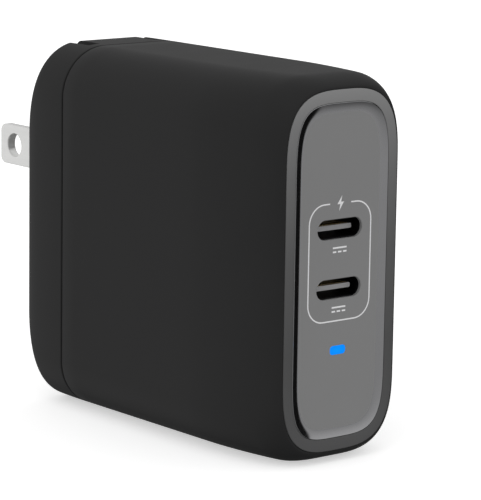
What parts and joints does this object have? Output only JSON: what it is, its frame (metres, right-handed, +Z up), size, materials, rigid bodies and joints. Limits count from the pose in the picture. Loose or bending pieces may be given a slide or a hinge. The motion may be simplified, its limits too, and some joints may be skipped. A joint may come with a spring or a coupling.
{
  "type": "usb wall charger",
  "caption": "Folding-plug wall charger: a rounded upright case with a recessed front panel of two ports and a status light, and plug blades that fold up into the rear cap.",
  "frame": {"origin": "centre of the bounding box in X and Y, blades out, at the flat bottom of the case", "axes": "+Z up, -Y out of the front panel with the ports, +Y along the plug blades, +X to the right as the front is faced"},
  "size_m": [0.0276, 0.0754, 0.0563],
  "materials": {
    "case_plastic": "fine matte",
    "bezel": "satin",
    "panel": "satin",
    "blue_light": "glowing window",
    "white_plastic": "matte",
    "circuit_board": "solder mask",
    "port_metal": "dark nickel",
    "tongue_plastic": "matte",
    "gold": "polished",
    "black_plastic": "matte",
    "ferrite": "matte",
    "copper": "enamelled",
    "yellow_tape": "tape",
    "can_sleeve": "sleeve",
    "can_metal": "satin",
    "yellow_plastic": "matte",
    "blue_ceramic": "dipped",
    "ferrite_green": "coated",
    "fuse_body": "matte",
    "green_ceramic": "dipped",
    "aluminium_sheet": "satin",
    "thermal_rubber": "soft",
    "sheet_plastic": "film",
    "cream_plastic": "matte",
    "spring_bronze": "satin",
    "wire_insulation": "matte",
    "carrier_plastic": "matte",
    "blade_metal": "nickel plated",
    "steel": "satin"
  },
  "bodies": {
    "case": {"main_shell": "case_plastic", "rear_cap": "case_plastic", "bezel_ring": "bezel", "front_panel": "panel", "light_pipe": "blue_light", "led": "white_plastic", "port_board": "circuit_board", "usb_shell_upper": "port_metal", "usb_shell_lower": "port_metal", "usb_tongue_upper": "tongue_plastic", "usb_tongue_lower": "tongue_plastic", "usb_contacts_upper": "gold", "usb_contacts_lower": "gold", "port_controllers": "black_plastic", "board_link": "black_plastic", "main_board": "circuit_board", "transformer_core": "ferrite", "transformer_bobbin": "black_plastic", "transformer_winding": "copper", "transformer_tape": "yellow_tape", "input_capacitors": "can_sleeve", "output_capacitors": "can_metal", "x_capacitor": "yellow_plastic", "y_capacitor": "blue_ceramic", "choke_core": "ferrite_green", "choke_winding": "copper", "bridge_rectifier": "black_plastic", "fuse": "fuse_body", "thermistor": "green_ceramic", "power_transistor": "black_plastic", "primary_controller": "black_plastic", "optocoupler": "white_plastic", "heat_spreader": "aluminium_sheet", "thermal_pad": "thermal_rubber", "insulation_sheet": "sheet_plastic", "terminal_block": "cream_plastic", "contact_springs": "spring_bronze", "input_wires": "wire_insulation", "bearing_caps": "black_plastic", "bearing_screws": "steel", "detent_spring": "steel"},
    "plug": {"prong_carrier": "carrier_plastic", "blade_left": "blade_metal", "blade_right": "blade_metal"}
  },
  "joints": [
    {"name": "plug_fold", "type": "hinge", "parent": "case", "child": "plug", "pos_m": [0, 0.0183, 0.0366], "axis": [1, 0, 0], "range_deg": [0, 90]}
  ]
}
